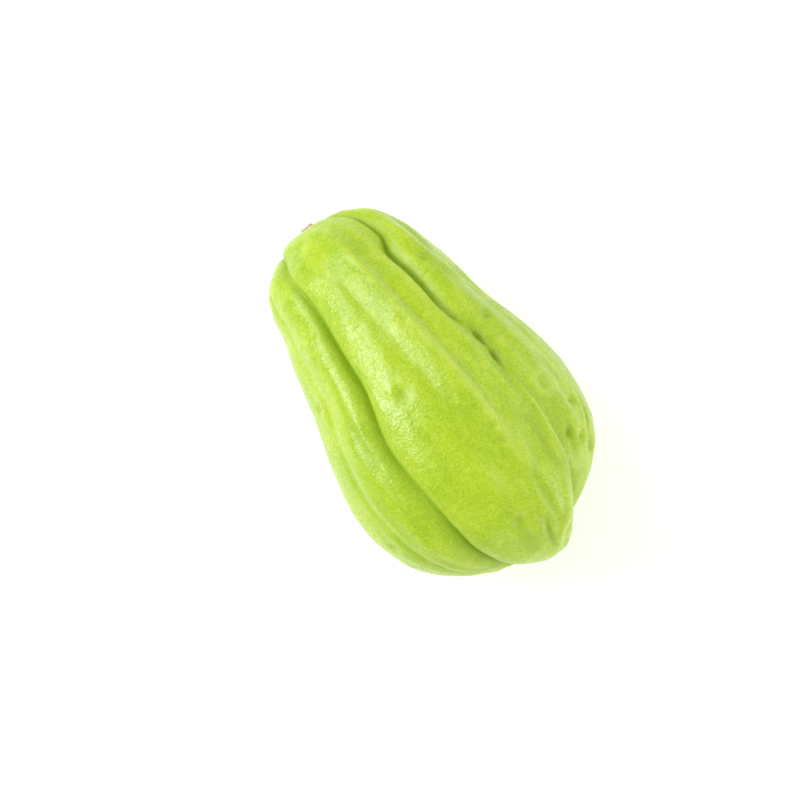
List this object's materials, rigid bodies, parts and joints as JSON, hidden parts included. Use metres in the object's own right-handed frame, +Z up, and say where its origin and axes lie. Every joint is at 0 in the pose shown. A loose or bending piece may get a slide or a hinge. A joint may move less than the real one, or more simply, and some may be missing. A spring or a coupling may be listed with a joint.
{
  "type": "chayote squash",
  "caption": "Pear-shaped chayote squash lying on its side: smooth lobes between deep lengthwise furrows, a puckered cleft at the blossom end and a low dry stalk scar.",
  "frame": {"origin": "middle of the bounding box in plan, at the level of the surface that the fruit rests on", "axes": "+X from the stalk end to the blossom end, +Z up, +Y to the left of someone who looks along +X"},
  "size_m": [0.1327, 0.0826, 0.0678],
  "materials": {
    "skin": "satin",
    "stalk": "matte"
  },
  "bodies": {
    "root": {"squash_body": "skin", "stalk_stub": "stalk"}
  },
  "joints": []
}
